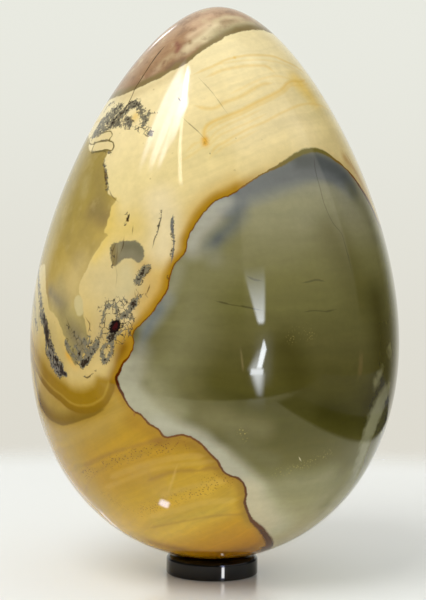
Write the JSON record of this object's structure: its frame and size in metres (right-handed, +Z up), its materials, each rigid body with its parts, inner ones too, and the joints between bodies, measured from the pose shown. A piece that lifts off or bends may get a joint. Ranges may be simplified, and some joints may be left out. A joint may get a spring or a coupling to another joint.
{
  "type": "decorative stone egg on a ring stand",
  "caption": "Large polished stone egg standing blunt end down in a small thick ring stand, from which it lifts off.",
  "frame": {"origin": "centre of the ring stand's foot, on the surface it stands on", "axes": "+Z up along the egg's axis of revolution, towards its tip; -Y towards the viewer who sees the grey green zone"},
  "size_m": [0.088, 0.088, 0.1356],
  "materials": {
    "jasper": "mirror polished multicoloured stone, cream and ochre with a grey green zone",
    "hematite": "polished dark grey stone with a metallic sheen"
  },
  "bodies": {
    "stand": {"ring_stand": "hematite"},
    "egg": {"egg": "jasper"}
  },
  "joints": [
    {"name": "egg_lift", "type": "slide", "parent": "stand", "child": "egg", "axis": [0, 0, 1], "range_m": [0, 0.04]}
  ]
}
